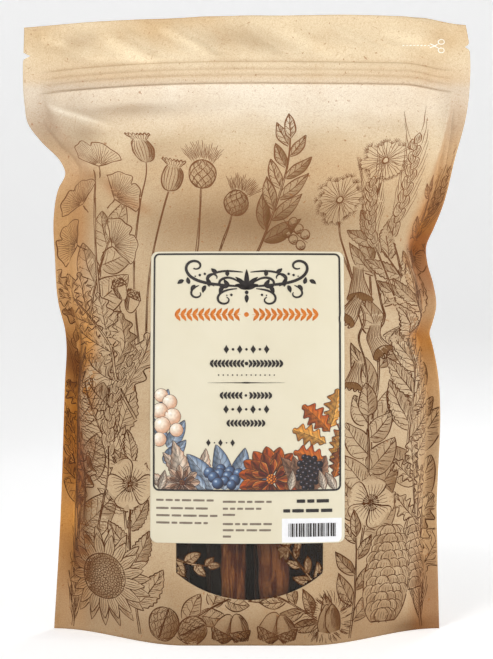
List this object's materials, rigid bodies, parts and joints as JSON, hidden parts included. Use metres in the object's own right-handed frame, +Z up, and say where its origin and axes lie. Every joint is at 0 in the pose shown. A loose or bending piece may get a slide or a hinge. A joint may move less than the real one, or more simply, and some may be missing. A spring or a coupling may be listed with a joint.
{
  "type": "stand-up pouch of dried sliced mushroom",
  "caption": "Filled stand-up pouch of kraft laminate with a sealed header, press-to-close zip, bottom gusset, clear window and paper label, holding dried mushroom slices.",
  "frame": {"origin": "centre of the pouch's bounding box at the level of the surface it stands on", "axes": "+Z up through the header, the front with its window faces -Y, +X to the right seen from the front"},
  "size_m": [0.2472, 0.0975, 0.3375],
  "materials": {
    "kraft": "Brown kraft paper laminate with fine fibres, cream towards the top and darker towards the base, with brown line drawings of plants",
    "clear_film": "Clear glossy film",
    "label_paper": "Cream coated paper with a thin black frame line and printed leaf garland",
    "zip_plastic": "Translucent off-white polyethylene",
    "dried_slice": "Corky reddish-brown dried mushroom flesh with a dark crust"
  },
  "bodies": {
    "root": {"front_panel": "kraft", "back_panel": "kraft", "bottom_gusset": "kraft", "zip_grooved_track": "zip_plastic", "zip_ribbed_track": "zip_plastic", "window_film": "clear_film", "label": "label_paper", "slice_01": "dried_slice", "slice_02": "dried_slice", "slice_03": "dried_slice", "slice_04": "dried_slice", "slice_05": "dried_slice", "slice_06": "dried_slice", "slice_07": "dried_slice", "slice_08": "dried_slice", "slice_09": "dried_slice", "slice_10": "dried_slice", "slice_11": "dried_slice", "slice_12": "dried_slice", "slice_13": "dried_slice", "slice_14": "dried_slice", "slice_15": "dried_slice", "slice_16": "dried_slice", "slice_17": "dried_slice", "slice_18": "dried_slice", "slice_19": "dried_slice", "slice_20": "dried_slice", "slice_21": "dried_slice", "slice_22": "dried_slice", "slice_23": "dried_slice", "slice_24": "dried_slice", "slice_25": "dried_slice", "slice_26": "dried_slice", "slice_27": "dried_slice", "slice_28": "dried_slice", "slice_29": "dried_slice", "slice_30": "dried_slice", "slice_31": "dried_slice", "slice_32": "dried_slice", "slice_33": "dried_slice", "slice_34": "dried_slice", "slice_35": "dried_slice", "slice_36": "dried_slice", "slice_37": "dried_slice", "slice_38": "dried_slice"}
  },
  "joints": []
}
